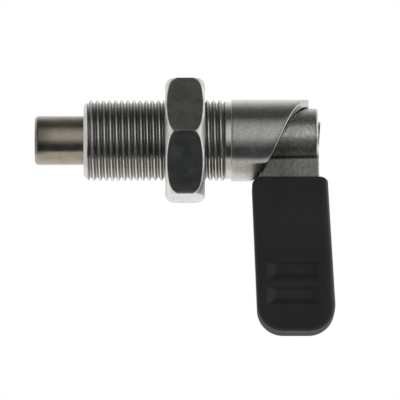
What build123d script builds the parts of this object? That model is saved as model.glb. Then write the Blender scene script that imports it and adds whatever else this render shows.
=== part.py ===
from build123d import *
from math import asin, cos, degrees, radians, tan
import os

# Cam-action indexing plunger: a threaded body holding a ground locking pin, which
# half a turn of the lever draws back against its spring.
#
# Sizes are in millimetres. X runs along the pin, from its nose at -X to the lever
# at +X, and the origin is the centre of the body's front face. The lever hangs
# along -Z at rest. Angles round the cam start at the lever's rest place and grow
# the way the lever is turned: 0 below the axis, 90 at -Y, 180 above it.

# ---- body: thread, relief and sleeve
thread_diameter = 20.0
thread_length = 35.1
front_chamfer = 1.4
relief_width = 1.1
relief_depth = 0.55
sleeve_diameter = 20.0
sleeve_length = 4.9       # up to the ramp at angle 0
sleeve_wall = 1.85
sleeve_corner = 0.4

# ---- cam on the rear end of the sleeve
cam_lift = 14.0           # rise over half a turn, which is the travel of the pin
cam_land_rise = 0.05      # flat end of the sleeve, just past the top of the ramp
cam_play = 0.12           # lever clear of the ramp, along X
stop_play = 0.15          # lever clear of the stop wall
cam_edge_round = 0.3      # deburred outer edge of the ramp

# ---- bores of the body
guide_length = 9.0
guide_clearance = 0.03    # of the radius
mouth_chamfer = 0.5
spring_bore_diameter = 15.2

# ---- locking pin
pin_diameter = 12.0
pin_projection = 12.0
pin_tip_round = 1.0
collar_play = 0.3         # collar clear of the floor of the spring bore
collar_width = 2.5
collar_clearance = 0.2
stem_diameter = 9.0
spigot_diameter = 7.5     # end of the stem that the lever turns on
spigot_play = 0.05        # each side of the hub, along X
head_lip = 0.85           # peened end wider than the spigot, to hold the lever on
head_seat_depth = 0.9
head_seat_clearance = 0.2
head_stand = 0.25         # proud of the hub on the axis
head_slant = 3.8          # degrees that the dressed end leans, furthest out at the top
head_edge_round = 0.15

# ---- bush pressed in the body, behind the spring
bush_width = 2.5
bush_clearance = 0.05
bush_chamfer = 0.3
bush_to_hub = 0.6

# ---- compression spring
wire_diameter = 1.25
spring_turns = 5.5
spring_end_play = 0.02    # each end, along X

# ---- lock nut
nut_across_flats = 28.8
nut_thickness = 9.7
thread_behind_nut = 5.4
nut_corner_round = 0.4
nut_face_inset = 0.35     # rim of the flat face inside the flats
nut_bore_clearance = 0.02
nut_bore_chamfer = 0.5
nut_corner_angle = 3.0    # first corner above the -Y direction

# ---- lever: hub, cam foot, and arm with the tang that fills the cover
hub_clearance = 0.3       # hub inside the bore of the sleeve
hub_bore_clearance = 0.05
hub_edge_round = 0.8
hub_past_cam = 2.35       # rear face past the end of the sleeve
arm_thickness = 12.0
arm_setback = 1.65        # front edge behind the start of the ramp
arm_front_lean = 2.4      # degrees, towards +X on the way down
arm_rear_lean = 1.2
arm_edge_round = 0.5
foot_inset = 0.65         # cam foot inside the outside of the sleeve
sleeve_to_arm = 0.3       # arm clear of the outside of the sleeve
tang_corner = 4.0

# ---- moulded cover on the tang
cover_to_foot = 0.25      # cover clear of the cam foot above it
cover_length = 37.9
cover_front_wall = 2.0
cover_rear_wall = 2.0
cover_rear_lean = 3.4
cover_side_wall = 3.2
cover_end_wall = 3.0
cover_fit = 0.05
cover_foot_corner = 6.4
cover_front_corner = 2.2
cover_shoulder_length = 2.1   # arc that falls to the rear side and meets it at a corner
cover_shoulder_drop = 1.2
cover_edge_round = 1.0
parting_groove_width = 0.3
parting_groove_depth = 0.12

# ---- thumb grooves across the cover
groove_count = 2
groove_first = 21.0       # upper edge of the first groove below the cover's top
groove_pitch = 6.1
groove_length = 13.0
groove_height = 4.3
groove_depth = 0.9
groove_upper_slope = 0.5
groove_lower_slope = 1.5
groove_front_slope = 2.4
groove_rear_slope = 1.5

# ---- radii and places worked out from the sizes above
thread_radius = thread_diameter / 2
sleeve_radius = sleeve_diameter / 2
sleeve_bore_radius = sleeve_radius - sleeve_wall
spring_bore_radius = spring_bore_diameter / 2
guide_radius = pin_diameter / 2 + guide_clearance
stem_radius = stem_diameter / 2
spigot_radius = spigot_diameter / 2
head_radius = spigot_radius + head_lip
hub_radius = sleeve_bore_radius - hub_clearance
foot_radius = sleeve_radius - foot_inset
arm_half = arm_thickness / 2
stop_wall = arm_half + stop_play
foot_half_angle = degrees(asin(arm_half / foot_radius))

sleeve_start = thread_length + relief_width
cam_start = sleeve_start + sleeve_length
cam_land = cam_start + cam_lift + cam_land_rise
arm_front = cam_start + arm_setback      # both sides of the arm at the height of the axis
arm_rear = cam_land + hub_past_cam
hub_front = cam_start - cam_lift * foot_half_angle / 180 + cam_play
bush_rear = hub_front - bush_to_hub
bush_front = bush_rear - bush_width
collar_front = guide_length + collar_play
collar_rear = collar_front + collar_width
spring_radius = (stem_radius + spring_bore_radius) / 2
head_seat = arm_rear - head_seat_depth
cover_top = -foot_radius - cover_to_foot
cover_bottom = cover_top - cover_length
tang_bottom = cover_bottom + cover_end_wall
cover_half = arm_half + cover_side_wall


def turned(*outline):
    """A solid of revolution round X from (x, radius) corners."""
    return revolve(make_face(Polyline(*outline, close=True)), Axis.X)


def ramp_surface(inner, outer, first_angle=-75, last_angle=200):
    """The cam's ramp between two radii: a radial line that climbs as it turns."""
    rise = cam_lift * (last_angle - first_angle) / 180
    rims = [Edge.make_helix(2 * cam_lift, rise, radius, lefthand=True) for radius in (inner, outer)]
    ramp = Face.make_surface_from_curves(*rims)
    start = Location((0, 0, cam_lift * first_angle / 180), (0, 0, 1), -first_angle)
    cam_frame = Plane(origin=(cam_start, 0, 0), x_dir=(0, 0, -1), z_dir=(1, 0, 0))
    return cam_frame * (start * ramp)


def beyond(x, lean, size=80):
    """All that lies past a plane across X, which leans towards +X on the way down."""
    return Pos(x, 0, 0) * Rot(Y=-lean) * Pos(size / 2, 0, 0) * Box(size, size, size)


def cam_body():
    """Turned body, with the ramp milled into the end of its sleeve."""
    relief_radius = thread_radius - relief_depth
    body = turned(
        (0, guide_radius + mouth_chamfer),
        (0, thread_radius - front_chamfer),
        (front_chamfer, thread_radius),
        (thread_length - relief_depth, thread_radius),
        (thread_length, relief_radius),
        (sleeve_start, relief_radius),
        (sleeve_start, sleeve_radius),
        (cam_land, sleeve_radius),
        (cam_land, sleeve_bore_radius),
        (bush_front, sleeve_bore_radius),
        (bush_front, spring_bore_radius),
        (guide_length, spring_bore_radius),
        (guide_length, guide_radius),
        (mouth_chamfer, guide_radius),
    )
    rim = body.edges().filter_by(GeomType.CIRCLE).group_by(Axis.X)[-1].sort_by(SortBy.RADIUS)[-1]
    body = fillet(rim, sleeve_corner)
    ramp = ramp_surface(hub_radius / 2, sleeve_diameter)
    above_ramp = extrude(ramp, amount=cam_land, dir=(1, 0, 0))
    behind_stop = Pos(cam_start, stop_wall, 0) * Box(
        cam_land, sleeve_diameter, sleeve_diameter, align=(Align.CENTER, Align.MIN, Align.MAX)
    )
    body -= above_ramp - behind_stop
    ramp_edge = body.edges().filter_by(GeomType.BSPLINE).sort_by(SortBy.LENGTH)[-1]
    return fillet(ramp_edge, cam_edge_round)


def locking_pin():
    """Ground pin, turned in one with its collar, stem, spigot and peened end."""
    collar_radius = spring_bore_radius - collar_clearance
    spigot_start = hub_front - spigot_play
    head_start = head_seat + spigot_play
    head_end = arm_rear + head_stand
    pin = turned(
        (-pin_projection, 0),
        (-pin_projection, pin_diameter / 2),
        (collar_front, pin_diameter / 2),
        (collar_front, collar_radius),
        (collar_rear, collar_radius),
        (collar_rear, stem_radius),
        (spigot_start, stem_radius),
        (spigot_start, spigot_radius),
        (head_start, spigot_radius),
        (head_start, head_radius),
        (head_end + head_radius, head_radius),
        (head_end + head_radius, 0),
    )
    pin -= beyond(head_end, -head_slant)
    pin = fillet(pin.edges().filter_by(GeomType.ELLIPSE), head_edge_round)
    nose = pin.edges().filter_by(GeomType.CIRCLE).sort_by(Axis.X)[0]
    return fillet(nose, pin_tip_round)


def spring_bush():
    """Ring pressed in the body, which the spring pushes on and the stem runs in."""
    bush = turned(
        (bush_front, stem_radius + bush_clearance),
        (bush_front, sleeve_bore_radius),
        (bush_rear, sleeve_bore_radius),
        (bush_rear, stem_radius + bush_clearance),
    )
    return chamfer(bush.edges().filter_by(GeomType.CIRCLE), bush_chamfer)


def pin_spring():
    """Closed coil spring between collar and bush, its ends ground flat."""
    front, rear = collar_rear + spring_end_play, bush_front - spring_end_play
    closed_pitch = wire_diameter * 1.04
    open_pitch = (rear - front - 2 * closed_pitch) / (spring_turns - 2)
    points = []
    steps = 8
    for step in range(int(spring_turns * steps) + 1):
        turn = step / steps
        open_turns = min(max(turn - 1, 0), spring_turns - 2)
        x = front + closed_pitch * (turn - open_turns) + open_pitch * open_turns
        points.append(Vector(x, spring_radius, 0).rotate(Axis.X, 360 * turn))
    coil = Spline(*points)
    wire = sweep(Plane(origin=coil @ 0, z_dir=coil % 0) * Circle(wire_diameter / 2), path=coil)
    between_seats = Pos(front, 0, 0) * Rot(Y=90) * Cylinder(
        spring_bore_radius, rear - front, align=(Align.CENTER, Align.CENTER, Align.MIN)
    )
    return wire & between_seats


def lock_nut():
    """Thin hexagon nut, chamfered on both faces."""
    face_radius = nut_across_flats / 2 - nut_face_inset
    corner_radius = nut_across_flats / 2 / cos(radians(30))
    bore_radius = thread_radius + nut_bore_clearance
    reach = corner_radius - face_radius
    far = thread_length - thread_behind_nut
    near = far - nut_thickness
    hexagon = Plane.YZ * Rot(Z=-nut_corner_angle) * RegularPolygon(corner_radius, 6)
    prism = Pos(near, 0, 0) * extrude(hexagon, nut_thickness)
    prism = fillet(prism.edges().filter_by(Axis.X), nut_corner_round)
    chamfered = turned(
        (near, bore_radius + nut_bore_chamfer),
        (near, face_radius),
        (near + reach, corner_radius),
        (far - reach, corner_radius),
        (far, face_radius),
        (far, bore_radius + nut_bore_chamfer),
        (far - nut_bore_chamfer, bore_radius),
        (near + nut_bore_chamfer, bore_radius),
    )
    return prism & chamfered


def arm_outline(grow=0.0):
    """Side view of the arm and its tang, or of the pocket that takes the tang."""
    top, bottom = 0, tang_bottom - grow
    front_top = arm_front - grow
    rear_top = arm_rear + grow
    outline = Polyline(
        (front_top, top),
        (rear_top, top),
        (rear_top - bottom * tan(radians(arm_rear_lean)), bottom),
        (front_top - bottom * tan(radians(arm_front_lean)), bottom),
        close=True,
    )
    face = make_face(outline)
    return Plane.XZ * fillet(face.vertices().group_by(Axis.Y)[0], tang_corner + grow)


def lever():
    """Cast lever: a hub on the spigot, a foot that rides the ramp, and the arm."""
    arm = extrude(arm_outline(), arm_half, both=True)
    arm = fillet(arm.faces().filter_by(Axis.Y).edges(), arm_edge_round)
    foot = turned((hub_front, 0), (hub_front, foot_radius), (arm_front + 1, foot_radius), (arm_front + 1, 0))
    foot &= Box(4 * cam_land, arm_thickness, 4 * foot_radius, align=(Align.CENTER, Align.CENTER, Align.MAX))
    ramp = Pos(cam_play, 0, 0) * ramp_surface(hub_radius / 2, sleeve_radius + sleeve_to_arm)
    arm = arm + foot - extrude(ramp, amount=cam_lift, dir=(-1, 0, 0))
    hub = turned((hub_front, 0), (hub_front, hub_radius), (arm_rear + 2, hub_radius), (arm_rear + 2, 0))
    hub -= beyond(arm_rear, arm_rear_lean)
    hub = fillet(hub.edges().filter_by(GeomType.ELLIPSE), hub_edge_round)
    cast = arm + hub
    bore = turned(
        (hub_front - 1, 0),
        (hub_front - 1, spigot_radius + hub_bore_clearance),
        (head_seat, spigot_radius + hub_bore_clearance),
        (head_seat, head_radius + head_seat_clearance),
        (arm_rear + 2, head_radius + head_seat_clearance),
        (arm_rear + 2, 0),
    )
    return cast - bore


def cover_front(z):
    """Place of the cover's front side at a height."""
    return arm_front - cover_front_wall - z * tan(radians(arm_front_lean))


def cover_rear(z):
    """Place of the cover's rear side, which spreads away from the arm on the way down."""
    at_top = arm_rear + cover_rear_wall - cover_top * tan(radians(arm_rear_lean))
    return at_top + (cover_top - z) * tan(radians(cover_rear_lean))


def cover_outline():
    """Side view of the cover, wider than the tang and leaning with it."""
    corners = Polyline(
        (cover_front(cover_top), cover_top),
        (cover_rear(cover_top), cover_top),
        (cover_rear(cover_bottom), cover_bottom),
        (cover_front(cover_bottom), cover_bottom),
        close=True,
    )
    face = make_face(corners)
    face = fillet(face.vertices().group_by(Axis.Y)[0], cover_foot_corner)
    front_top = face.vertices().group_by(Axis.Y)[-1].sort_by(Axis.X)[0]
    return Plane.XZ * fillet(front_top, cover_front_corner)


def shoulder_cutter():
    """Corner taken off the top of the cover's rear side along an arc."""
    foot_z = cover_top - cover_shoulder_drop
    start = (cover_rear(cover_top) - cover_shoulder_length, cover_top)
    end = (cover_rear(foot_z), foot_z)
    arc = TangentArc(start, end, tangent=(1, 0))
    outside = Polyline(end, (end[0] + 1, foot_z), (end[0] + 1, cover_top + 1), (start[0], cover_top + 1), start)
    return extrude(Plane.XZ * make_face([arc, outside]), 2 * cover_half, both=True)


def thumb_groove(index):
    """Cutter for one groove: a steep upper wall, a flat floor and a long lower slope."""
    middle_x = cover_outline().center().X
    middle_z = cover_top - groove_first - index * groove_pitch - groove_height / 2
    floor_length = groove_length - groove_front_slope - groove_rear_slope
    floor_height = groove_height - groove_upper_slope - groove_lower_slope
    floor_x = middle_x + (groove_front_slope - groove_rear_slope) / 2
    floor_z = middle_z + (groove_lower_slope - groove_upper_slope) / 2
    at_face = Plane(origin=(middle_x, -cover_half, middle_z), x_dir=(1, 0, 0), z_dir=(0, -1, 0))
    at_floor = Plane(origin=(floor_x, groove_depth - cover_half, floor_z), x_dir=(1, 0, 0), z_dir=(0, -1, 0))
    mouth = at_face * Rectangle(groove_length, groove_height)
    floor = at_floor * Rectangle(floor_length, floor_height)
    return loft([floor, mouth], ruled=True)


def lever_cover():
    """Moulded cover pushed over the tang, with thumb grooves on both sides."""
    outline = cover_outline()
    block = extrude(outline, cover_half, both=True)
    broad_sides = block.faces().filter_by(Axis.Y)
    block = fillet(broad_sides.edges(), cover_edge_round)
    pocket = extrude(arm_outline(cover_fit), arm_half + cover_fit, both=True)
    grooves = [thumb_groove(index) for index in range(groove_count)]
    grooves += [mirror(groove, Plane.XZ) for groove in grooves]
    seam = extrude(outline, parting_groove_width / 2, both=True) - extrude(
        offset(outline, -parting_groove_depth), parting_groove_width, both=True
    )
    return block - pocket - grooves - seam - shoulder_cutter()


parts = {
    "cam_body": cam_body,
    "locking_pin": locking_pin,
    "pin_spring": pin_spring,
    "spring_bush": spring_bush,
    "lock_nut": lock_nut,
    "lever": lever,
    "lever_cover": lever_cover,
}

os.makedirs("parts", exist_ok=True)
for name, build in parts.items():
    export_step(build(), f"parts/{name}.step")
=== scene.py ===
from math import asin, atan2, cos, pi, radians, sin, sqrt, tan

import bmesh
import bpy
from mathutils import Matrix, Vector


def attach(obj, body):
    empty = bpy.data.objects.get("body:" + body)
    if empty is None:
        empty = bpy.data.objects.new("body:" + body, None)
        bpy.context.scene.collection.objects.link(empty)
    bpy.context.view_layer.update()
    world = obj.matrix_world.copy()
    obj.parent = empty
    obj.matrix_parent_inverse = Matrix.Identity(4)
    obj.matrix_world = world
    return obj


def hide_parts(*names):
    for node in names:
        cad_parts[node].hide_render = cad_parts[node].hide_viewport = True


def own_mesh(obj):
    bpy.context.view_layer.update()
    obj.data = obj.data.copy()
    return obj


# Looks of the indexing plunger: turned and threaded body, ground locking pin, tumbled
# lock nut, cast lever and its moulded cover. Sizes here are in millimetres, and MM
# turns them into the frame's metres. X runs along the pin towards the lever.
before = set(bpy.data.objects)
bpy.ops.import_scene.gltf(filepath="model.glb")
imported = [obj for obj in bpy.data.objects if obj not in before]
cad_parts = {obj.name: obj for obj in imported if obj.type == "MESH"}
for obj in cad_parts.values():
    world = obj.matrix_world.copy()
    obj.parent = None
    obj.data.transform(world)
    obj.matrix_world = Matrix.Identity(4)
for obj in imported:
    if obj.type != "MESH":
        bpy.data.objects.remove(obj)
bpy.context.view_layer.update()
MM = 0.001


# ---- camera: a long lens a little below the part, looking square at its side
# The lens follows from the scale wanted at the pin's axis, in a render this many pixels wide.
render_width = 400
pixels_per_mm = 4.078
sensor_width = 36.0
camera_distance = 2300.0
camera_elevation = radians(-5.0)
view_centre = Vector((28.5, 0.0, -14.65))

toward_camera = Vector((0, -cos(camera_elevation), sin(camera_elevation)))
camera_data = bpy.data.cameras.new("camera")
camera_data.sensor_width = sensor_width
camera_data.lens = sensor_width * pixels_per_mm * camera_distance / render_width
camera_data.clip_start = 0.05
camera = bpy.data.objects.new("camera", camera_data)
camera.location = (view_centre + toward_camera * camera_distance) * MM
camera.rotation_euler = (-toward_camera).to_track_quat("-Z", "Y").to_euler()
bpy.context.scene.collection.objects.link(camera)
bpy.context.scene.camera = camera
bpy.context.scene.view_settings.view_transform = "Standard"


# ---- studio: a white backdrop, with light from the world alone
# Round the pin's axis the light goes through bands: bright behind and below, and a broad
# dark card in front and above with one soft box before it. Both sides are bright.
def node(tree, kind, inputs=None, **settings):
    """Adds a node, sets its properties, and gives its inputs values or links."""
    made = tree.nodes.new("ShaderNode" + kind)
    for key, value in settings.items():
        setattr(made, key, value)
    for key, value in (inputs or {}).items():
        if isinstance(value, bpy.types.NodeSocket):
            tree.links.new(value, made.inputs[key])
        else:
            made.inputs[key].default_value = value
    return made


def maths(tree, operation, *values):
    """A sum on numbers."""
    return node(tree, "Math", dict(enumerate(values)), operation=operation).outputs[0]


def vector_maths(tree, operation, *values):
    """A sum on colours or places."""
    return node(tree, "VectorMath", dict(enumerate(values)), operation=operation).outputs[0]


def length_of(tree, vector):
    """The length of a vector."""
    return node(tree, "VectorMath", {0: vector}, operation="LENGTH").outputs["Value"]


def mixed(tree, share, first, second):
    """A colour between two others."""
    return node(tree, "Mix", {0: share, 6: first, 7: second}, data_type="RGBA").outputs[2]


def spread(tree, value, source, target=(0.0, 1.0), **settings):
    """Carries a number from one range to another, and holds it at their ends."""
    ends = {"From Min": source[0], "From Max": source[1], "To Min": target[0], "To Max": target[1]}
    return node(tree, "MapRange", {"Value": value, **ends}, **settings).outputs[0]


def ramp(tree, factor, stops):
    """A colour ramp from (place, grey or colour) stops."""
    made = node(tree, "ValToRGB", {"Fac": factor})
    elements = made.color_ramp.elements
    for place, value in stops[1:-1]:
        elements.new(place)
    for element, (place, value) in zip(elements, stops):
        colour = value if isinstance(value, tuple) else (value, value, value)
        element.position = place
        element.color = (*colour, 1)
    return made.outputs["Color"]


def parts_of(tree, vector):
    """The X, Y and Z of a vector."""
    return node(tree, "SeparateXYZ", {"Vector": vector}).outputs


def round_the_axis(stops):
    """Ramp stops from angles in degrees: 0 towards the camera, 90 straight up."""
    return [((angle + 180) / 360, value) for angle, value in stops]


def along_the_pin(stops):
    """Ramp stops from a direction's X: -1 towards the pin's nose, 1 towards the lever."""
    return [((x + 1) / 2, value) for x, value in stops]


white = (1.0, 1.0, 1.0, 1.0)
nose_side_light = 0.90
lever_side_light = 1.35
band_stops = [
    (-180, 0.65), (-172, 0.85), (-162, 1.05), (-140, 1.12), (-118, (1.12, 1.11, 1.07)),
    (-100, (0.84, 0.81, 0.75)), (-66, (0.70, 0.665, 0.61)), (-61, (0.43, 0.415, 0.385)), (-56, 0.075),
    (-49, (0.040, 0.044, 0.046)), (-30, (0.036, 0.040, 0.042)), (-15, 0.05), (30, 0.05),
    (62, (0.078, 0.078, 0.070)), (84, (0.098, 0.098, 0.091)), (95, 0.155), (105, 0.29), (115, 0.50),
    (123, 0.70), (135, 0.97), (150, 1.04), (170, 0.80), (180, 0.65),
]
soft_box_stops = [
    (-180, 0.0), (-27, 0.0), (-12, 0.30), (-2, 0.72), (6, 0.92), (24, 0.90), (31, 0.80), (38, 0.68),
    (44, 0.52), (50, 0.36), (56, 0.20), (62, 0.04), (66, 0.0), (180, 0.0),
]
soft_box_width_stops = [(-1, 0.0), (-0.23, 0.0), (-0.13, 1.0), (0.13, 1.0), (0.23, 0.0), (1, 0.0)]
middle_stops = [(-1, 0.0), (-0.82, 0.0), (-0.62, 1.0), (0.62, 1.0), (0.82, 0.0), (1, 0.0)]
side_stops = [
    (-1, nose_side_light), (-0.84, nose_side_light), (-0.60, 0.0), (0.60, 0.0), (0.84, lever_side_light),
    (1, lever_side_light),
]

world = bpy.data.worlds.new("studio")
world.use_nodes = True
bpy.context.scene.world = world
tree = world.node_tree
tree.nodes.clear()
direction = parts_of(tree, node(tree, "TexCoord").outputs["Generated"])
toward_front = maths(tree, "MULTIPLY", direction["Y"], -1.0)
angle_share = spread(tree, maths(tree, "ARCTAN2", direction["Z"], toward_front), (-pi, pi))
width_share = spread(tree, direction["X"], (-1.0, 1.0))
bands = ramp(tree, angle_share, round_the_axis(band_stops))
soft_box = ramp(tree, angle_share, round_the_axis(soft_box_stops))
soft_box_width = ramp(tree, width_share, along_the_pin(soft_box_width_stops))
middle = ramp(tree, width_share, along_the_pin(middle_stops))
side_light = ramp(tree, width_share, along_the_pin(side_stops))
lit_bands = vector_maths(tree, "ADD", bands, vector_maths(tree, "MULTIPLY", soft_box, soft_box_width))
lit_all_round = vector_maths(tree, "MULTIPLY_ADD", lit_bands, middle, side_light)
seen_directly = node(tree, "LightPath").outputs["Is Camera Ray"]
background = node(tree, "Background", {"Color": mixed(tree, seen_directly, lit_all_round, white)})
node(tree, "OutputWorld", {"Surface": background.outputs[0]})

# The floor is far below the part, which is held by its thread. It is only looked at,
# fades into the white backdrop with distance from the part, and is clear from below.
floor_height = -300.0
floor_reach = 4000.0          # from its middle to each side
fade_start = 350.0            # distance from the part
fade_end = 1200.0


def own_place(tree):
    """The place on the object itself, in metres."""
    return node(tree, "TexCoord").outputs["Object"]


def noise(tree, place, scale, detail=2.0, roughness=0.5):
    """Soft noise of so many lumps to a metre."""
    inputs = {"Vector": place, "Scale": scale, "Detail": detail, "Roughness": roughness}
    return node(tree, "TexNoise", inputs).outputs["Fac"]


floor_mesh = bmesh.new()
bmesh.ops.create_grid(floor_mesh, x_segments=1, y_segments=1, size=floor_reach * MM)
bmesh.ops.translate(floor_mesh, verts=floor_mesh.verts, vec=(0, 0, floor_height * MM))
floor_data = bpy.data.meshes.new("floor")
floor_mesh.to_mesh(floor_data)
floor_mesh.free()
floor = bpy.data.objects.new("floor", floor_data)
floor_material = bpy.data.materials.new("pale_floor")
floor_material.use_nodes = True
tree = floor_material.node_tree
place = own_place(tree)
grain = noise(tree, place, 40.0, 4.0)
matte = tree.nodes["Principled BSDF"]
matte.inputs["Roughness"].default_value = 0.9
tree.links.new(ramp(tree, grain, [(0.3, 0.90), (0.7, 0.93)]), matte.inputs["Base Color"])
fade = spread(tree, length_of(tree, place), (fade_start * MM, fade_end * MM))
backdrop_white = node(tree, "Emission", {"Color": white})
faded = node(tree, "MixShader", {0: fade, 1: matte.outputs[0], 2: backdrop_white.outputs[0]})
from_below = node(tree, "NewGeometry").outputs["Backfacing"]
clear = node(tree, "BsdfTransparent")
one_sided = node(tree, "MixShader", {0: from_below, 1: faded.outputs[0], 2: clear.outputs[0]})
tree.links.new(one_sided.outputs[0], tree.nodes["Material Output"].inputs["Surface"])
floor_data.materials.append(floor_material)
bpy.context.scene.collection.objects.link(floor)
floor.visible_glossy = False
floor.visible_diffuse = False
floor.visible_shadow = False


# ---- body: stainless steel, turned from bar, with a rolled-looking M20x1.5 thread
# The thread starts on a 45 degree lead-in and runs out in a relief groove. Behind it
# the sleeve ends in the cam: a ramp that climbs 14 mm in half a turn from a stop wall.
thread_pitch = 1.5
thread_phase = 1.02           # a crest's place along X where it passes the lowest point
crest_radius = 9.93
root_radius = 9.08
# Half a pitch of the thread, from the middle of a crest to the middle of a root, as
# (share of the pitch, share of the depth). The other half is its mirror image.
thread_half_form = [
    (0.0, 0.0), (0.062, 0.0), (0.072, 0.004), (0.081, 0.013), (0.087, 0.025), (0.25, 0.50),
    (0.413, 0.975), (0.425, 0.99), (0.445, 1.0),
]
thread_columns = 120
thread_rear = 35.1
runout_length = 0.9
full_runout_length = 0.1      # at the thread's rear, where the groove's radius is reached
lead_in_radius = 8.6          # where the 45 degree lead-in meets the front face
face_ring_gap = 0.15          # between the lead-in and the first ring of the front face
relief_radius = 9.45
relief_ring_gap = 0.1         # between the thread's rear and the first ring of the groove
relief_fillet = (0.08, 0.05)  # along X and outwards
sleeve_start = 36.2
sleeve_radius = 10.0
sleeve_corner = 0.12
sleeve_bore_radius = 8.15
spring_bore_radius = 7.6
guide_radius = 6.03
guide_length = 9.0
mouth_chamfer = 0.5
bush_seat = 35.0
ring_base = 36.9              # the sleeve is plain up to here, and its rows follow the cam behind it
cam_start = 41.1
cam_land = 55.15
cam_lift = 14.0
stop_wall = 6.15              # the wall's place towards +Y
cam_edge_round = 0.3
cam_edge_steps = 4
inner_edge_break = 0.1
cam_end_shares = (0.1, 0.35, 0.65, 0.93)    # rows across the sleeve's end, from outside to inside
cam_wall_steps = 8
sleeve_columns = 180
same_place = 1e-7             # metres
weld_distance = 2e-6          # metres
angle_slack = 0.001           # radians, so that rounding doesn't put the first vertex last
sharp_edge = radians(32.0)    # edges that turn more than this are shaded sharp


def scaled(tree, colour, factor):
    """A colour times a number."""
    return node(tree, "VectorMath", {0: colour, "Scale": factor}, operation="SCALE").outputs[0]


def new_group(name, values, outputs):
    """A node group with number and colour inputs, and its two end nodes."""
    made = bpy.data.node_groups.new(name, "ShaderNodeTree")
    for key, value in values.items():
        kind = "NodeSocketColor" if isinstance(value, tuple) else "NodeSocketFloat"
        made.interface.new_socket(key, in_out="INPUT", socket_type=kind).default_value = value
    for key in outputs:
        kind = "NodeSocketColor" if key == "Color" else "NodeSocketFloat"
        made.interface.new_socket(key, in_out="OUTPUT", socket_type=kind)
    start = made.nodes.new("NodeGroupInput").outputs
    end = made.nodes.new("NodeGroupOutput").inputs
    return made, start, end


# Shared finish of everything turned or ground round X: fine lines that run round the
# axis, soft stains and small pits. Lines is their number per metre along X.
turned_finish, start, end = new_group(
    "turned_finish",
    {"Color": (0.6, 0.6, 0.58, 1.0), "Roughness": 0.2, "Lines": 7000.0, "Stain": 0.1, "Speckle": 0.1},
    ("Color", "Roughness", "Height"),
)
tree = turned_finish
place = own_place(tree)
along = vector_maths(tree, "MULTIPLY", place, (1.0, 0.05, 0.05))
fine_lines = noise(tree, along, start["Lines"])
coarse_lines = noise(tree, along, maths(tree, "MULTIPLY", start["Lines"], 0.3), 3.0)
tree.links.new(maths(tree, "ADD", fine_lines, coarse_lines), end["Height"])
cloud = noise(tree, place, 260.0, 5.0, 0.6)
stain_dark = maths(tree, "SUBTRACT", 1.0, start["Stain"])
stain = spread(tree, cloud, (0.35, 0.65), (stain_dark, 1.0))
streak = spread(tree, coarse_lines, (0.3, 0.7), (0.94, 1.04))
pits = spread(tree, noise(tree, place, 2600.0), (0.35, 0.65), (-0.5, 0.5))
speckle = maths(tree, "MULTIPLY_ADD", pits, start["Speckle"], 1.0)
shade = maths(tree, "MULTIPLY", maths(tree, "MULTIPLY", stain, streak), speckle)
tree.links.new(scaled(tree, start["Color"], shade), end["Color"])
worn = spread(tree, cloud, (0.3, 0.7), (0.85, 1.2))
tree.links.new(maths(tree, "MULTIPLY", start["Roughness"], worn), end["Roughness"])


def finished_metal(name, finish, values, line_height, stretch=0.0):
    """A bare metal whose colour, roughness and fine relief come from a shared finish.

    Lines round X spread its reflections along X, by the share that stretch gives.
    """
    made = bpy.data.materials.new(name)
    made.use_nodes = True
    tree = made.node_tree
    shader = tree.nodes["Principled BSDF"]
    shader.inputs["Metallic"].default_value = 1.0
    shader.inputs["Anisotropic"].default_value = stretch
    work = node(tree, "Group", node_tree=finish)
    for key, value in values.items():
        work.inputs[key].default_value = value
    pin_axis = {"Vector": (1.0, 0.0, 0.0)}
    along = node(tree, "VectorTransform", pin_axis, convert_from="OBJECT", convert_to="WORLD")
    bump = node(tree, "Bump", {"Height": work.outputs["Height"], "Distance": line_height * MM})
    tree.links.new(work.outputs["Color"], shader.inputs["Base Color"])
    tree.links.new(work.outputs["Roughness"], shader.inputs["Roughness"])
    tree.links.new(bump.outputs[0], shader.inputs["Normal"])
    tree.links.new(along.outputs[0], shader.inputs["Tangent"])
    return made


def multiply_input(material, name, factor):
    """Multiplies what already feeds an input of a material's shader by a number that varies."""
    tree = material.node_tree
    socket = tree.nodes["Principled BSDF"].inputs[name]
    before = socket.links[0].from_socket
    after = scaled(tree, before, factor) if name == "Base Color" else maths(tree, "MULTIPLY", before, factor)
    tree.links.new(after, socket)


def span(tree, value, low, high, target=(0.0, 1.0), **settings):
    """Carries a place, from one millimetre mark to another, to a range of numbers."""
    return spread(tree, value, (low * MM, high * MM), target, **settings)


def where(tree, mask, off, on):
    """One number where a mask is 0, and another where it is 1."""
    return spread(tree, mask, (0.0, 1.0), (off, on))


body_steel = finished_metal(
    "turned_steel", turned_finish,
    {"Color": (0.605, 0.60, 0.572, 1.0), "Roughness": 0.16, "Lines": 6000.0, "Stain": 0.10, "Speckle": 0.22},
    line_height=0.006, stretch=0.9,
)
# The sleeve is turned with a coarser feed than the thread and its relief. Painted shade darkens
# the thread's flanks and valleys, which are also duller, and a painted highlight brightens its crests.
tree = body_steel.node_tree
along_x = parts_of(tree, own_place(tree))["X"]
off_axis = length_of(tree, vector_maths(tree, "MULTIPLY", own_place(tree), (0.0, 1.0, 1.0)))
# Painted shade on the thread's flanks, and less of it in the roots.
thread_flank_painted_shade = ramp(tree, span(tree, off_axis, 9.0, 10.0), [
    (0.0, 0.80), (0.09, 0.74), (0.14, 0.46), (0.80, 0.50), (0.91, 0.55), (0.93, 1.0),
])
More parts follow.
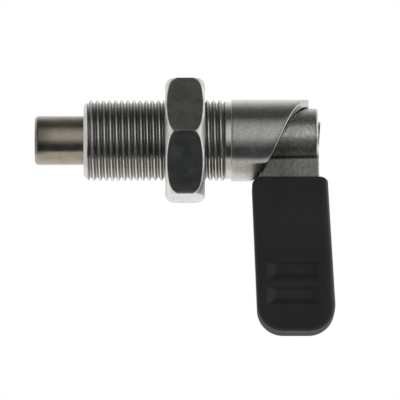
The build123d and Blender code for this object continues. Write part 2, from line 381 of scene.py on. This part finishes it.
# A painted highlight on the thread's crests, along the thread only.
on_crest = span(tree, off_axis, crest_radius - 0.015, crest_radius - 0.002)
past_thread = span(tree, along_x, thread_rear - 0.8, thread_rear - 0.2)
before_thread = span(tree, along_x, 1.3, 0.9)
off_thread = maths(tree, "MAXIMUM", past_thread, before_thread)
thread_painted_shade = maths(tree, "MAXIMUM", thread_flank_painted_shade, off_thread)
crest_painted_highlight = where(tree, off_thread, 0.45, 0.0)
brightness = maths(tree, "MULTIPLY", thread_painted_shade, maths(tree, "MULTIPLY_ADD", on_crest, crest_painted_highlight, 1.0))
on_sleeve = span(tree, along_x, sleeve_start - 0.1, sleeve_start + 0.1)
multiply_input(body_steel, "Base Color", brightness)
multiply_input(body_steel, "Base Color", where(tree, on_sleeve, 1.0, 0.90))
multiply_input(body_steel, "Roughness", where(tree, on_sleeve, 1.0, 1.5))
multiply_input(body_steel, "Roughness", spread(tree, brightness, (0.6, 1.0), (2.2, 1.0)))


def turned_point(x, radius, angle):
    """A point in metres; the angle is 0 straight down and grows towards -Y."""
    return Vector((x, -radius * sin(angle), -radius * cos(angle))) * MM


def profile(bm, outline, angle=0.0, closed=False):
    """Vertices and edges along (x, radius) points, ready to be spun."""
    verts = [bm.verts.new(turned_point(x, radius, angle)) for x, radius in outline]
    ends = verts[1:] + verts[:1] if closed else verts[1:]
    return verts + [bm.edges.new(pair) for pair in zip(verts, ends)]


def spin_round_x(bm, geometry, turns, steps, **settings):
    """Spins geometry round the pin's axis, the way that a turned point's angle grows."""
    turn = {"cent": (0, 0, 0), "axis": (-1, 0, 0), "angle": 2 * pi * turns}
    return bmesh.ops.spin(bm, geom=geometry, steps=steps, **turn, **settings)


def lathe(bm, outline, columns, angle=0.0, closed=False):
    """Spins an outline of (x, radius) points once round X; what lies on the axis becomes a pole."""
    spin_round_x(bm, profile(bm, outline, angle, closed), 1, columns, use_merge=True)
    poles = [vertex for vertex in bm.verts if vertex.co.yz.length < same_place]
    bmesh.ops.remove_doubles(bm, verts=poles, dist=same_place)


def row_at(bm, x, radius, angle=0.0):
    """The vertices of a turned corner, in order from an angle on."""
    row = []
    for vertex in bm.verts:
        # A radius carries more rounding than a place along X does.
        off_radius = abs(vertex.co.yz.length - radius * MM)
        if abs(vertex.co.x - x * MM) < same_place and off_radius < 10 * same_place:
            row.append(vertex)
    return sorted(row, key=lambda v: (atan2(-v.co.y, -v.co.z) - angle + angle_slack) % (2 * pi))


def skin(bm, rows, closed=True):
    """Quads between rows of as many vertices each."""
    for low, high in zip(rows, rows[1:]):
        for j in range(len(low) if closed else len(low) - 1):
            k = (j + 1) % len(low)
            bm.faces.new((low[j], low[k], high[k], high[j]))


def join_rows(bm, first, second):
    """Triangles between two closed rows round X of different counts, matched by angle."""
    def turn(vertex):
        return atan2(vertex.co.y, vertex.co.z)

    first, second = sorted(first, key=turn), sorted(second, key=turn)
    i = j = 0
    while i < len(first) or j < len(second):
        a, next_a = first[i % len(first)], first[(i + 1) % len(first)]
        b, next_b = second[j % len(second)], second[(j + 1) % len(second)]
        turn_a = turn(next_a) + 2 * pi * (i + 1 >= len(first))
        turn_b = turn(next_b) + 2 * pi * (j + 1 >= len(second))
        if j >= len(second) or (i < len(first) and turn_a <= turn_b):
            bm.faces.new((a, next_a, b))
            i += 1
        else:
            bm.faces.new((a, next_b, b))
            j += 1


def add_piece(name, bm, body, material, stands_for):
    """Makes the finished object, smooth but for its real edges, and hangs it on its body."""
    bmesh.ops.recalc_face_normals(bm, faces=bm.faces)
    mesh = bpy.data.meshes.new(name)
    bm.to_mesh(mesh)
    bm.free()
    mesh.shade_smooth()
    mesh.set_sharp_from_angle(angle=sharp_edge)
    mesh.materials.append(material)
    made = bpy.data.objects.new(name, mesh)
    bpy.context.scene.collection.objects.link(made)
    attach(made, body)
    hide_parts(stands_for)
    return made


def thread_radius_at(x, depth_share):
    """Radius of the thread where its form is that deep, inside the lead-in and the run-out."""
    radius = crest_radius - (crest_radius - root_radius) * depth_share
    past = (x - thread_rear + runout_length) / (runout_length - full_runout_length)
    out = min(max(past, 0.0), 1.0)
    radius += (relief_radius - radius) * out * out * (3 - 2 * out)
    return min(radius, lead_in_radius + max(x, 0.0))


# One pitch is spun once round, falling by a pitch as it goes, so that copies of it
# moved on by whole pitches meet end to end and side to side.
thread_form = thread_half_form + [(1.0 - share, depth) for share, depth in reversed(thread_half_form)]
thread_outline = [
    (thread_phase + share * thread_pitch, crest_radius - (crest_radius - root_radius) * depth)
    for share, depth in thread_form
]
bm = bmesh.new()
fall = (-thread_pitch * MM / thread_columns, 0, 0)
spin_round_x(bm, profile(bm, thread_outline), 1, thread_columns, dvec=fall)
one_turn = bm.verts[:] + bm.edges[:] + bm.faces[:]
for count in range(-1, int(thread_rear / thread_pitch) + 3):
    copied = bmesh.ops.duplicate(bm, geom=one_turn)["geom"]
    moved = [item for item in copied if isinstance(item, bmesh.types.BMVert)]
    bmesh.ops.translate(bm, verts=moved, vec=(count * thread_pitch * MM, 0, 0))
bmesh.ops.delete(bm, geom=one_turn, context="VERTS")
bmesh.ops.remove_doubles(bm, verts=bm.verts, dist=weld_distance)
for x, side in ((0.0, {"clear_inner": True}), (thread_rear, {"clear_outer": True})):
    cut = {"plane_co": (x * MM, 0, 0), "plane_no": (1, 0, 0), "dist": same_place, **side}
    bmesh.ops.bisect_plane(bm, geom=bm.verts[:] + bm.edges[:] + bm.faces[:], **cut)
for vertex in bm.verts:
    depth = (crest_radius - vertex.co.yz.length / MM) / (crest_radius - root_radius)
    vertex.co.yz = vertex.co.yz.normalized() * thread_radius_at(vertex.co.x / MM, depth) * MM
thread_data = bpy.data.meshes.new("thread")
bm.to_mesh(thread_data)
bm.free()


def cam_height(angle):
    """Place along X of the end of the sleeve."""
    return min(cam_start + cam_lift * angle / pi, cam_land)


def wall_angle(radius):
    """Angle at which the stop wall crosses a radius."""
    return -asin(stop_wall / radius)


def cam_row(bm, radius, below_end, share=1.0, corners=sleeve_columns + 1):
    """A row round the sleeve from the foot of the stop wall, at a share of the way up to the cam.

    One corner more than there are columns takes it to the top of the wall.
    """
    row = []
    for j in range(corners):
        angle = wall_angle(radius) + 2 * pi * j / sleeve_columns
        x = ring_base + (cam_height(angle) - below_end - ring_base) * share
        row.append(bm.verts.new(turned_point(x, radius, angle)))
    return row


def cam_side(bm, base, radius, below_end):
    """A sleeve wall from its base ring up to the row below the cam's edge, which is returned."""
    rings = [base]
    for step in range(1, cam_wall_steps):
        rings.append(cam_row(bm, radius, below_end, step / cam_wall_steps, sleeve_columns))
    skin(bm, rings)
    last, edge = rings[-1], cam_row(bm, radius, below_end)
    for j in range(sleeve_columns - 1):
        bm.faces.new((last[j], last[j + 1], edge[j + 1], edge[j]))
    bm.faces.new((last[-1], last[0], edge[0], edge[-1], edge[-2]))
    return edge


outside = [
    (thread_rear + relief_ring_gap, relief_radius), (sleeve_start - relief_fillet[0], relief_radius),
    (sleeve_start, relief_radius + relief_fillet[1]), (sleeve_start, sleeve_radius - sleeve_corner),
    (sleeve_start + sleeve_corner / 3, sleeve_radius - sleeve_corner / 4),
    (sleeve_start + sleeve_corner, sleeve_radius), (ring_base, sleeve_radius),
]
inside = [
    (0.0, lead_in_radius - face_ring_gap), (0.0, guide_radius + mouth_chamfer),
    (mouth_chamfer, guide_radius), (guide_length, guide_radius), (guide_length, spring_bore_radius),
    (bush_seat, spring_bore_radius), (bush_seat, sleeve_bore_radius), (ring_base, sleeve_bore_radius),
]
outer_angle, inner_angle = wall_angle(sleeve_radius), wall_angle(sleeve_bore_radius)
bm = bmesh.new()
lathe(bm, outside, sleeve_columns, outer_angle)
lathe(bm, inside, sleeve_columns, inner_angle)
# The cam's rows go up the outer wall, round its edge, across the end and down the inner
# wall. They all start and stop at the stop wall, which one face closes.
cam_rows = [cam_side(bm, row_at(bm, *outside[-1], outer_angle), sleeve_radius, cam_edge_round)]
for step in range(1, cam_edge_steps + 1):
    turn = pi / 2 * step / cam_edge_steps
    inset, below_end = cam_edge_round * (1 - cos(turn)), cam_edge_round * (1 - sin(turn))
    cam_rows.append(cam_row(bm, sleeve_radius - inset, below_end))
end_rim = sleeve_radius - cam_edge_round
for share in cam_end_shares:
    cam_rows.append(cam_row(bm, end_rim + (sleeve_bore_radius - end_rim) * share, 0.0))
inner_base = row_at(bm, *inside[-1], inner_angle)
cam_rows.append(cam_side(bm, inner_base, sleeve_bore_radius, inner_edge_break))
skin(bm, cam_rows, closed=False)
bm.faces.new([row[0] for row in cam_rows] + [row[-1] for row in reversed(cam_rows)])
bm.from_mesh(thread_data)
join_rows(bm, row_at(bm, thread_rear, relief_radius), row_at(bm, *outside[0]))
join_rows(bm, row_at(bm, 0.0, lead_in_radius), row_at(bm, *inside[0]))
bpy.data.meshes.remove(thread_data)
add_piece("threaded_body", bm, "body", body_steel, "cam_body")


# ---- lock nut: stainless steel, tumbled bright, so that its corners are full and round
# A turned chamfer, flatter towards the middle of each flat, cuts both ends of the
# hexagon. The bore is countersunk and runs on the crests of the body's thread.
nut_front = 20.0
nut_thickness = 9.7
flat_radius = 14.4
nut_corner_round = 0.4
nut_turn = radians(3.0)       # the corner that is nearly towards -Y is this much above it
nut_bore_radius = 9.97
countersink_radius = 10.8
countersink_depth = 0.8
chamfer_start_radius = 13.85
chamfer_slope = 0.5
chamfer_start_round = 0.05    # how softly the chamfer starts, in square millimetres
corner_wear_radius = 14.6     # outside this the corners are worn more, by the fourth power
corner_wear = 0.085
edge_round_at_corner = 0.30
edge_round_at_flat = 0.45
edge_run = 0.1                # plain stretch of each flat beside its worn edge
steps_per_side = 32
from_edge_inward = [0.0, 0.01, 0.03, 0.07, 0.12, 0.18, 0.26, 0.35, 0.46, 0.6, 0.8, 1.1, 1.5, 2.0, 2.6, 3.3]
pale_from_front = 0.18        # how far in from the flats the paler face of each end starts
pale_from_rear = 0.12
nut_columns = 6 * steps_per_side
around = [2 * pi * j / nut_columns for j in range(nut_columns)]    # from the middle of a flat

nut_steel = finished_metal(
    "tumbled_steel", turned_finish,
    {"Color": (0.75, 0.745, 0.72, 1.0), "Roughness": 0.12, "Lines": 900.0, "Stain": 0.34, "Speckle": 0.08},
    line_height=0.0,
)
# Its turned faces are paler and less polished than the flats; the mesh says where they are.
tree = nut_steel.node_tree
on_turned_face = node(tree, "Attribute", attribute_name="turned_face").outputs["Fac"]
multiply_input(nut_steel, "Roughness", where(tree, on_turned_face, 1.0, 4.0))
multiply_input(nut_steel, "Base Color", where(tree, on_turned_face, 1.0, 1.2))


def from_flat_middle(angle):
    """Angle from the middle of the nearest flat, from an angle round the nut."""
    return (angle + pi / 6) % (pi / 3) - pi / 6


def hexagon_radius(angle):
    """Radius of the hexagon with rounded corners at an angle from the middle of a flat."""
    off = from_flat_middle(angle)
    to_corner = pi / 6 - abs(off)
    plain = flat_radius / cos(off)
    centre = (flat_radius - nut_corner_round) / cos(pi / 6)
    aside = centre * sin(to_corner)
    if aside >= nut_corner_round / 2:
        return plain
    return min(plain, centre * cos(to_corner) + sqrt(nut_corner_round ** 2 - aside ** 2))


def edge_round(angle):
    """Radius of the worn edge of a flat, largest in its middle."""
    extra = (edge_round_at_flat - edge_round_at_corner) * cos(3 * from_flat_middle(angle))
    return edge_round_at_corner + extra


def chamfer_depth(radius):
    """How far the turned chamfer is behind the nut's face at a radius."""
    past_start = radius - chamfer_start_radius
    cone = chamfer_slope * (past_start + sqrt(past_start ** 2 + chamfer_start_round)) / 2
    return cone + corner_wear * max(radius - corner_wear_radius, 0.0) ** 4


def half_nut(pale_from):
    """Half of the nut, from the middle of its bore over one face and out to its flats.

    Each row is a list of (x, radius) points, with 1 if it lies on a turned face and 0 if not.
    """
    half = [
        ([(nut_thickness / 2, nut_bore_radius)] * nut_columns, 0.0),
        ([(countersink_depth, nut_bore_radius)] * nut_columns, 0.0),
        ([(0.0, countersink_radius)] * nut_columns, 1.0),
    ]
    for inward in reversed(from_edge_inward):
        row = []
        for angle in around:
            radius = hexagon_radius(angle) - inward
            short = max(edge_round(angle) - inward, 0.0)
            rounding = edge_round(angle) - sqrt(edge_round(angle) ** 2 - short ** 2)
            row.append((chamfer_depth(radius) + rounding, radius))
        half.append((row, float(inward >= pale_from)))
    flat_row = []
    for angle in around:
        radius = hexagon_radius(angle)
        flat_row.append((chamfer_depth(radius) + edge_round(angle) + edge_run, radius))
    half.append((flat_row, 0.0))
    return half


# The rear half is the front one's mirror image, and shares the row in the middle of the bore.
profile_rows = half_nut(pale_from_front)
for row, turned in reversed(half_nut(pale_from_rear)[1:]):
    profile_rows.append(([(nut_thickness - x, radius) for x, radius in row], turned))

bm = bmesh.new()
turned_layer = bm.verts.layers.float.new("turned_face")
# A flat's middle is 30 degrees from a corner, and -Y is a quarter turn from straight down.
first_flat = pi / 2 + nut_turn + pi / 6
rows = []
for points, turned in profile_rows:
    verts = []
    for (x, radius), angle in zip(points, around):
        vertex = bm.verts.new(turned_point(nut_front + x, radius, first_flat + angle))
        vertex[turned_layer] = turned
        verts.append(vertex)
    rows.append(verts)
skin(bm, rows + rows[:1])
add_piece("hexagon_nut", bm, "body", nut_steel, "lock_nut")


# ---- locking pin: stainless steel, hardened and ground, with the brown tint of hardening
# The nose is rounded and enters the index hole. Inside the body are its collar and
# stem; its spigot is peened over in the lever's hub, and the peened end dressed slanting.
pin_radius = 6.0
pin_front = -12.0
tip_round = 1.0
tip_round_steps = 8
collar_front = 9.3
collar_rear = 11.8
collar_radius = 7.4
stem_radius = 4.5
spigot_front = 38.07
spigot_radius = 3.75
head_seat = 56.65
head_radius = 4.6
head_end = 57.75              # on the axis
head_slant = radians(3.8)
head_edge_round = 0.15
head_edge_steps = 2
nose_ring_radius = 2.5        # rings in the end faces, inside which their triangles meet
head_ring_radius = 2.2
pin_columns = 128

pin_steel = finished_metal(
    "ground_steel", turned_finish,
    {"Color": (0.52, 0.475, 0.400, 1.0), "Roughness": 0.24, "Lines": 9000.0, "Stain": 0.20, "Speckle": 0.12},
    line_height=0.003, stretch=0.9,
)
# Painted shade darkens its top and bottom, and painted shade darkens a band along the middle of the nose.
tree = pin_steel.node_tree
place = parts_of(tree, own_place(tree))
# Painted shade, darker towards the top and bottom of the pin.
height_share = span(tree, place["Z"], -pin_radius, pin_radius)
painted_top_bottom_shade = ramp(tree, height_share, [
    (0.0, 0.66), (0.05, 0.68), (0.15, 0.85), (0.25, 1.0), (0.80, 1.0), (0.90, 0.80), (1.0, 0.72),
])
multiply_input(pin_steel, "Base Color", painted_top_bottom_shade)
# Painted shade over the middle band of the nose, where its reflection fades towards the tip.
near_tip = span(tree, place["X"], -6.5, -11.0, interpolation_type="SMOOTHSTEP")
nose_shade_band = ramp(tree, height_share, [
    (0.0, 0.0), (0.15, 0.0), (0.22, 0.95), (0.42, 1.0), (0.62, 1.0), (0.78, 0.35), (0.90, 0.0), (1.0, 0.0),
])
painted_nose_shade = maths(tree, "MULTIPLY", near_tip, nose_shade_band)
base_colour = tree.nodes["Principled BSDF"].inputs["Base Color"]
ground_colour = base_colour.links[0].from_socket
nose_shade_colour = vector_maths(tree, "MULTIPLY", ground_colour, (0.49, 0.48, 0.48))
tree.links.new(mixed(tree, painted_nose_shade, ground_colour, nose_shade_colour), base_colour)


def round_corner(bm, x, radius, size, steps):
    """Rounds the edges of a turned corner."""
    row = set(row_at(bm, x, radius))
    edges = [edge for edge in bm.edges if set(edge.verts) <= row]
    bmesh.ops.bevel(bm, geom=edges, offset=size * MM, offset_type="OFFSET", segments=steps, profile=0.5,
                    affect="EDGES", material=-1)


pin_outline = [
    (pin_front, 0.0), (pin_front, nose_ring_radius), (pin_front, pin_radius), (collar_front, pin_radius),
    (collar_front, collar_radius), (collar_rear, collar_radius), (collar_rear, stem_radius),
    (spigot_front, stem_radius), (spigot_front, spigot_radius), (head_seat, spigot_radius),
    (head_seat, head_radius), (head_end, head_radius), (head_end, head_ring_radius), (head_end, 0.0),
]
bm = bmesh.new()
lathe(bm, pin_outline, pin_columns)
round_corner(bm, pin_front, pin_radius, tip_round, tip_round_steps)
round_corner(bm, head_end, head_radius, head_edge_round, head_edge_steps)
slant = Matrix.Identity(4)
slant[0][2] = tan(head_slant)
dressed = [vertex for vertex in bm.verts if vertex.co.x > (head_end - head_edge_round - 0.05) * MM]
bmesh.ops.transform(bm, matrix=slant, verts=dressed)
add_piece("ground_pin", bm, "pin", pin_steel, "locking_pin")


# ---- bush: a ring turned from the same stainless steel as the body
# It is pressed in the rear of the body, lead-in first, and the spring pushes on it.
bush_width = 2.5
bush_rear = bush_seat + bush_width
bush_radius = 8.14
bush_bore_radius = 4.6
bush_lead_in = (0.2, 0.24)    # along X and inwards
bush_bore_chamfer = 0.2
bush_columns = 96

bush_outline = [
    (bush_seat, bush_bore_radius), (bush_seat, bush_radius - bush_lead_in[1]),
    (bush_seat + bush_lead_in[0], bush_radius), (bush_rear, bush_radius),
    (bush_rear, bush_bore_radius + bush_bore_chamfer), (bush_rear - bush_bore_chamfer, bush_bore_radius),
]
bm = bmesh.new()
lathe(bm, bush_outline, bush_columns, closed=True)
add_piece("bush_ring", bm, "body", body_steel, "spring_bush")


# ---- spring: drawn stainless wire, wound round the pin's stem with a closed turn at each end
# It stands between the pin's collar and the bush.
spring_front = 11.82
spring_rear = 34.98
wire_radius = 0.62
coil_radius = 6.05
open_turns = 3.5
end_turns = 1.0
closed_rise = 2 * wire_radius * 1.02        # closed turns all but touch
steps_per_turn = 48
wire_sides = 12

spring_steel = finished_metal(
    "spring_wire", turned_finish,
    {"Color": (0.58, 0.57, 0.55, 1.0), "Roughness": 0.28, "Lines": 3000.0, "Stain": 0.12},
    line_height=0.002,
)
open_length = spring_rear - spring_front - 2 * wire_radius - 2 * closed_rise * end_turns
open_pitch = open_length / open_turns
bm = bmesh.new()
section = bmesh.ops.create_circle(bm, segments=wire_sides, radius=wire_radius * MM)["verts"]
bmesh.ops.rotate(bm, verts=section, cent=(0, 0, 0), matrix=Matrix.Rotation(pi / 2, 3, "X"))
bmesh.ops.translate(bm, verts=section, vec=turned_point(spring_front + wire_radius, coil_radius, 0.0))
section = bm.verts[:] + bm.edges[:]
for turns, rise in ((end_turns, closed_rise), (open_turns, open_pitch), (end_turns, closed_rise)):
    climb = (rise * MM / steps_per_turn, 0, 0)
    section = spin_round_x(bm, section, turns, round(turns * steps_per_turn), dvec=climb)["geom_last"]
bmesh.ops.holes_fill(bm, edges=[edge for edge in bm.edges if edge.is_boundary], sides=wire_sides)
spring = add_piece("wire_spring", bm, "body", spring_steel, "pin_spring")
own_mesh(spring)


# ---- lever: investment-cast stainless steel, blasted, with hub, cam foot and arm in one
# Its hub turns on the pin's spigot. The surface is pebbly from the mould, and the hub has
# been ground smoother than the arm below it.
cast_finish, start, end = new_group(
    "cast_finish",
    {"Color": (0.5, 0.5, 0.48, 1.0), "Roughness": 0.3},
    ("Color", "Roughness", "Height"),
)
tree = cast_finish
place = own_place(tree)
pebble = noise(tree, place, 1500.0, 3.0, 0.55)
orange_peel = noise(tree, place, 520.0)
tree.links.new(maths(tree, "ADD", pebble, maths(tree, "MULTIPLY", orange_peel, 1.6)), end["Height"])
mottle = spread(tree, pebble, (0.35, 0.65), (0.74, 1.14))
tree.links.new(scaled(tree, start["Color"], mottle), end["Color"])
patchy = spread(tree, orange_peel, (0.3, 0.7), (0.85, 1.2))
tree.links.new(maths(tree, "MULTIPLY", start["Roughness"], patchy), end["Roughness"])

cast_steel = finished_metal(
    "cast_steel", cast_finish, {"Color": (0.47, 0.465, 0.440, 1.0), "Roughness": 0.25}, line_height=0.010,
)
# Painted shade and painted highlight lie in bands round the hub, from its lowest point to its
# highest, and painted shade darkens the corner beside the cam.
hub_radius = 6.0
hub_painted_light_stops = [
    (0.0, 1.0), (0.0833, 1.0), (0.0917, 0.35), (0.133, 0.24), (0.175, 0.65), (0.217, 1.10), (0.30, 1.20),
    (0.342, 1.0), (0.37, 0.68), (0.411, 0.48), (0.452, 0.50), (0.4925, 0.60), (0.533, 0.90), (0.575, 1.04),
    (0.658, 1.0), (0.783, 1.10), (0.875, 1.35), (0.933, 1.2), (1.0, 1.0),
]
tree = cast_steel.node_tree
place = parts_of(tree, own_place(tree))
# Painted shade and painted highlight in bands by height round the hub.
hub_painted_light = ramp(tree, span(tree, place["Z"], -hub_radius, hub_radius), hub_painted_light_stops)
multiply_input(cast_steel, "Base Color", hub_painted_light)
# Painted shade, darker towards the corner beside the cam.
multiply_input(cast_steel, "Base Color", span(tree, place["X"], 48.5, 54.0, (0.72, 1.0)))
multiply_input(cast_steel, "Roughness", span(tree, place["Z"], -4.3, -4.8, (1.0, 2.2)))


def merged_copy(node_name):
    """A copy of a CAD node's mesh with its loose triangles joined."""
    made = bmesh.new()
    made.from_mesh(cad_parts[node_name].data)
    bmesh.ops.remove_doubles(made, verts=made.verts, dist=weld_distance)
    bmesh.ops.dissolve_degenerate(made, edges=made.edges, dist=weld_distance / 2)
    return made


def steady_normals(piece):
    """Lets the large faces set the shading, so that flats stay flat beside rounded edges."""
    piece.modifiers.new("steady_normals", "WEIGHTED_NORMAL").keep_sharp = True


lever = add_piece("cast_lever", merged_copy("lever"), "lever", cast_steel, "lever")
steady_normals(lever)


# ---- cover: black moulded plastic pushed over the lever's tang
# It has a fine spark-eroded grain, two thumb grooves a side and a parting line all round.
cover_half = 9.2              # half its thickness
rear_edge = 59.31             # where the line of its rear side would cross the pin's axis
rear_lean = 0.0514            # of that side, along X for each millimetre down
palest_at_rear_edge = 3.0             # times as pale
parting_line_painted_shade = 0.15
thumb_groove_depth = 0.9
thumb_groove_span = (44.2, 58.6)            # both grooves lie within this stretch along X
thumb_groove_heights = (-41.3, -30.3)
# Painted light on the grooves' floors and front slopes, painted shade on their lower slopes.
floor_painted_light, front_slope_painted_light, lower_slope_painted_shade = 0.20, 0.42, -0.16
steep = 0.2                   # of a unit normal, for telling the slopes of a groove apart
surface_slack = 0.01

black_plastic = bpy.data.materials.new("black_plastic")
black_plastic.use_nodes = True
tree = black_plastic.node_tree
shader = tree.nodes["Principled BSDF"]
shader.inputs["Specular IOR Level"].default_value = 0.16
place = own_place(tree)
x, y, z = parts_of(tree, place)
grain = noise(tree, place, 4200.0)
haze = noise(tree, place, 120.0, 5.0, 0.6)
plain_black = ramp(tree, haze, [(0.3, (0.0375, 0.0415, 0.0390)), (0.7, (0.0495, 0.0530, 0.0495))])
# Paler towards the rear edge.
edge_x = maths(tree, "MULTIPLY_ADD", z, -rear_lean, rear_edge * MM)
edge_share = span(tree, maths(tree, "SUBTRACT", edge_x, x), -2.0, 2.0)
rear_edge_tone = ramp(tree, edge_share, [
    (0.0, 1.0), (0.30, 1.0), (0.45, 0.80), (0.58, 0.80), (0.66, 0.56), (0.78, 0.44), (1.0, 1 / palest_at_rear_edge),
])
edge_shade = maths(tree, "MULTIPLY", rear_edge_tone, palest_at_rear_edge)
# The parting line is a groove in the middle of the edge, darkened with painted shade.
out_of_groove = span(tree, maths(tree, "ABSOLUTE", y), 0.50, 0.75)
parting_painted_shade = where(tree, out_of_groove, parting_line_painted_shade, 1.0)
# The thumb grooves carry painted light on their floors and front slopes and painted shade on
# their lower slopes, by the share that the mesh gives.
groove_painted_light = node(tree, "Attribute", attribute_name="groove_light_share").outputs["Fac"]
groove_painted_light_factor = maths(tree, "ADD", groove_painted_light, 1.0)
shade = maths(tree, "MULTIPLY", maths(tree, "MULTIPLY", edge_shade, parting_painted_shade), groove_painted_light_factor)
tree.links.new(scaled(tree, plain_black, shade), shader.inputs["Base Color"])
tree.links.new(spread(tree, haze, (0.3, 0.7), (0.68, 0.78)), shader.inputs["Roughness"])
bump = node(tree, "Bump", {"Height": grain, "Distance": 0.004 * MM})
tree.links.new(bump.outputs[0], shader.inputs["Normal"])


def groove_painted_light_of(face):
    """How much painted light, or painted shade if below zero, a face carries for lying in a thumb groove."""
    x, y, z = face.calc_center_median() / MM
    along = thumb_groove_span[0] < x < thumb_groove_span[1]
    within = along and thumb_groove_heights[0] < z < thumb_groove_heights[1]
    depth = cover_half - abs(y)
    if not within or depth < surface_slack:
        return 0.0
    if depth > thumb_groove_depth - surface_slack:
        return floor_painted_light
    if face.normal.x > steep:
        return front_slope_painted_light
    return lower_slope_painted_shade if face.normal.z > steep else 0.0


bm = merged_copy("lever_cover")
bm.normal_update()
groove_light_layer = bm.faces.layers.float.new("groove_light_share")
for face in bm.faces:
    face[groove_light_layer] = groove_painted_light_of(face)
cover = add_piece("lever_grip", bm, "lever", black_plastic, "lever_cover")
steady_normals(cover)
